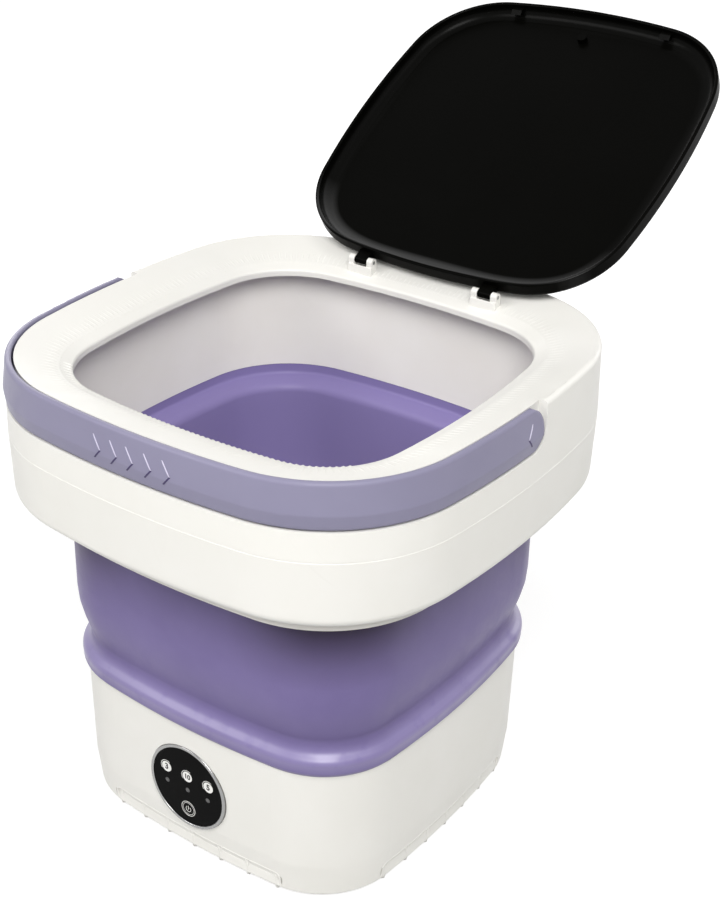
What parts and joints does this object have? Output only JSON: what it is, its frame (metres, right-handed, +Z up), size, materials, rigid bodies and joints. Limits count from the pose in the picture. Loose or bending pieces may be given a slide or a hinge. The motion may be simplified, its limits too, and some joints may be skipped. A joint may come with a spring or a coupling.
{
  "type": "folding portable washing machine",
  "caption": "Folding portable washer: square white collar with nested bail handle and hinged dark lid, purple folding wall, base with pulsator drive and round touch panel.",
  "frame": {"origin": "centre of the footprint on the floor, under the feet", "axes": "+Z up; the control panel faces -Y; the lid is hinged at +Y and leans back over +Y; +X is the right side seen from the front"},
  "size_m": [0.3364, 0.5252, 0.4754],
  "materials": {
    "white_shell": "satin",
    "liner_white": "satin",
    "silicone": "matte",
    "handle_grey": "satin",
    "lid_black": "gloss",
    "panel_black": "gloss",
    "bezel_chrome": "polished",
    "board_green": "matte",
    "steel": "brushed",
    "motor_grey": "satin",
    "housing_grey": "matte",
    "rubber_dark": "matte",
    "pulsator_white": "satin"
  },
  "bodies": {
    "base": {"base_shell": "white_shell", "bottom_cover": "white_shell", "cover_screws": "steel", "rubber_feet": "rubber_dark", "tub_pan": "liner_white", "bellows": "silicone", "lower_clamp_ring": "liner_white", "bearing_housing": "housing_grey", "motor_bracket": "steel", "bracket_screws": "steel", "gearbox": "housing_grey", "motor": "motor_grey", "shaft_bearing": "steel", "shaft_seal": "rubber_dark", "drain_strainer": "pulsator_white", "drain_elbow": "housing_grey", "power_inlet": "panel_black", "panel_bezel": "bezel_chrome", "panel_cover": "panel_black", "control_board": "board_green"},
    "rotor": {"drive_shaft": "steel", "pulsator": "pulsator_white", "pulsator_cap": "pulsator_white"},
    "collar": {"top_frame": "white_shell", "collar_skirt": "white_shell", "tub_liner": "liner_white", "upper_clamp_ring": "liner_white", "handle_pins": "steel", "hinge_pins": "steel"},
    "handle": {"handle": "handle_grey"},
    "lid": {"lid": "lid_black"},
    "plug": {"drain_plug": "rubber_dark"}
  },
  "joints": [
    {"name": "collar_fold", "type": "slide", "parent": "base", "child": "collar", "axis": [0, 0, -1], "range_m": [0, 0.124], "deforming": ["bellows"]},
    {"name": "handle_swing", "type": "hinge", "parent": "collar", "child": "handle", "pos_m": [0, -0.003, 0.3195], "axis": [-1, 0, 0], "range_deg": [0, 90]},
    {"name": "lid_hinge", "type": "hinge", "parent": "collar", "child": "lid", "pos_m": [0, 0.13255, 0.3334], "axis": [1, 0, 0], "range_deg": [0, 148.6]},
    {"name": "pulsator_spin", "type": "hinge", "parent": "base", "child": "rotor", "pos_m": [0, 0, 0.06], "axis": [0, 0, 1], "continuous": true},
    {"name": "drain_plug_pull", "type": "slide", "parent": "base", "child": "plug", "axis": [0, 1, 0], "range_m": [0, 0.03]}
  ]
}
